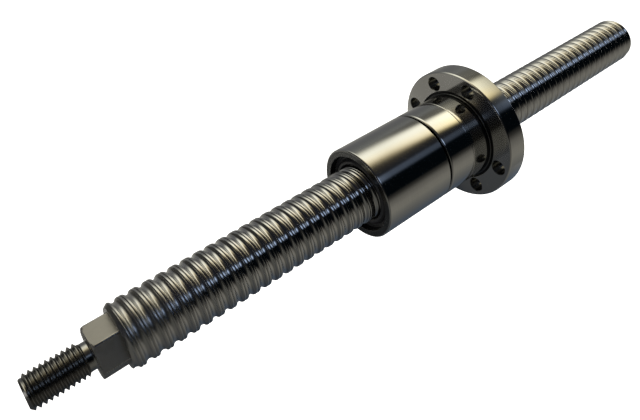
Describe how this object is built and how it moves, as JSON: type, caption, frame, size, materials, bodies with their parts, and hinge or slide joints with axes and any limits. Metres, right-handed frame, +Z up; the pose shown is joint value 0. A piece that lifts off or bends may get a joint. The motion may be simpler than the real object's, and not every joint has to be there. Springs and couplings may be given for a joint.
{
  "type": "ball screw",
  "caption": "Ball screw with a preloaded double nut and a round bolting flange, a short threaded stud behind a hexagon at one end and a plain cut end at the other.",
  "frame": {"origin": "centre of the shoulder that the threaded stud stands on, the front face of the hexagon, on the screw's axis", "axes": "+X along the screw's axis from the stud to the plain cut end, +Z up"},
  "size_m": [0.3327, 0.062, 0.062],
  "materials": {
    "ground_steel": "ground and polished",
    "bearing_steel": "polished",
    "deflector_steel": "satin",
    "dark_steel": "blackened",
    "wiper_plastic": "moulded, black"
  },
  "bodies": {
    "screw": {"screw_shaft": "ground_steel"},
    "nut_carrier": {"preload_spacer": "ground_steel"},
    "nut": {"front_nut": "ground_steel", "flanged_nut": "ground_steel", "front_wiper": "wiper_plastic", "rear_wiper": "wiper_plastic", "front_nut_front_deflector": "deflector_steel", "front_nut_rear_deflector": "deflector_steel", "flanged_nut_front_deflector": "deflector_steel", "flanged_nut_rear_deflector": "deflector_steel", "front_nut_balls": "bearing_steel", "flanged_nut_balls": "bearing_steel", "locking_key": "dark_steel", "key_screws": "dark_steel"}
  },
  "joints": [
    {"name": "nut_travel", "type": "slide", "parent": "screw", "child": "nut_carrier", "axis": [1, 0, 0], "range_m": [-0.1, 0.115]},
    {"name": "nut_turn", "type": "hinge", "parent": "nut_carrier", "child": "nut", "pos_m": [0.1508, 0, 0], "axis": [1, 0, 0], "range_deg": [-7200, 8280]}
  ],
  "couplings": [
    {"joint": "nut_travel", "follows": "nut_turn", "m_per_rad": 0.00079577}
  ]
}
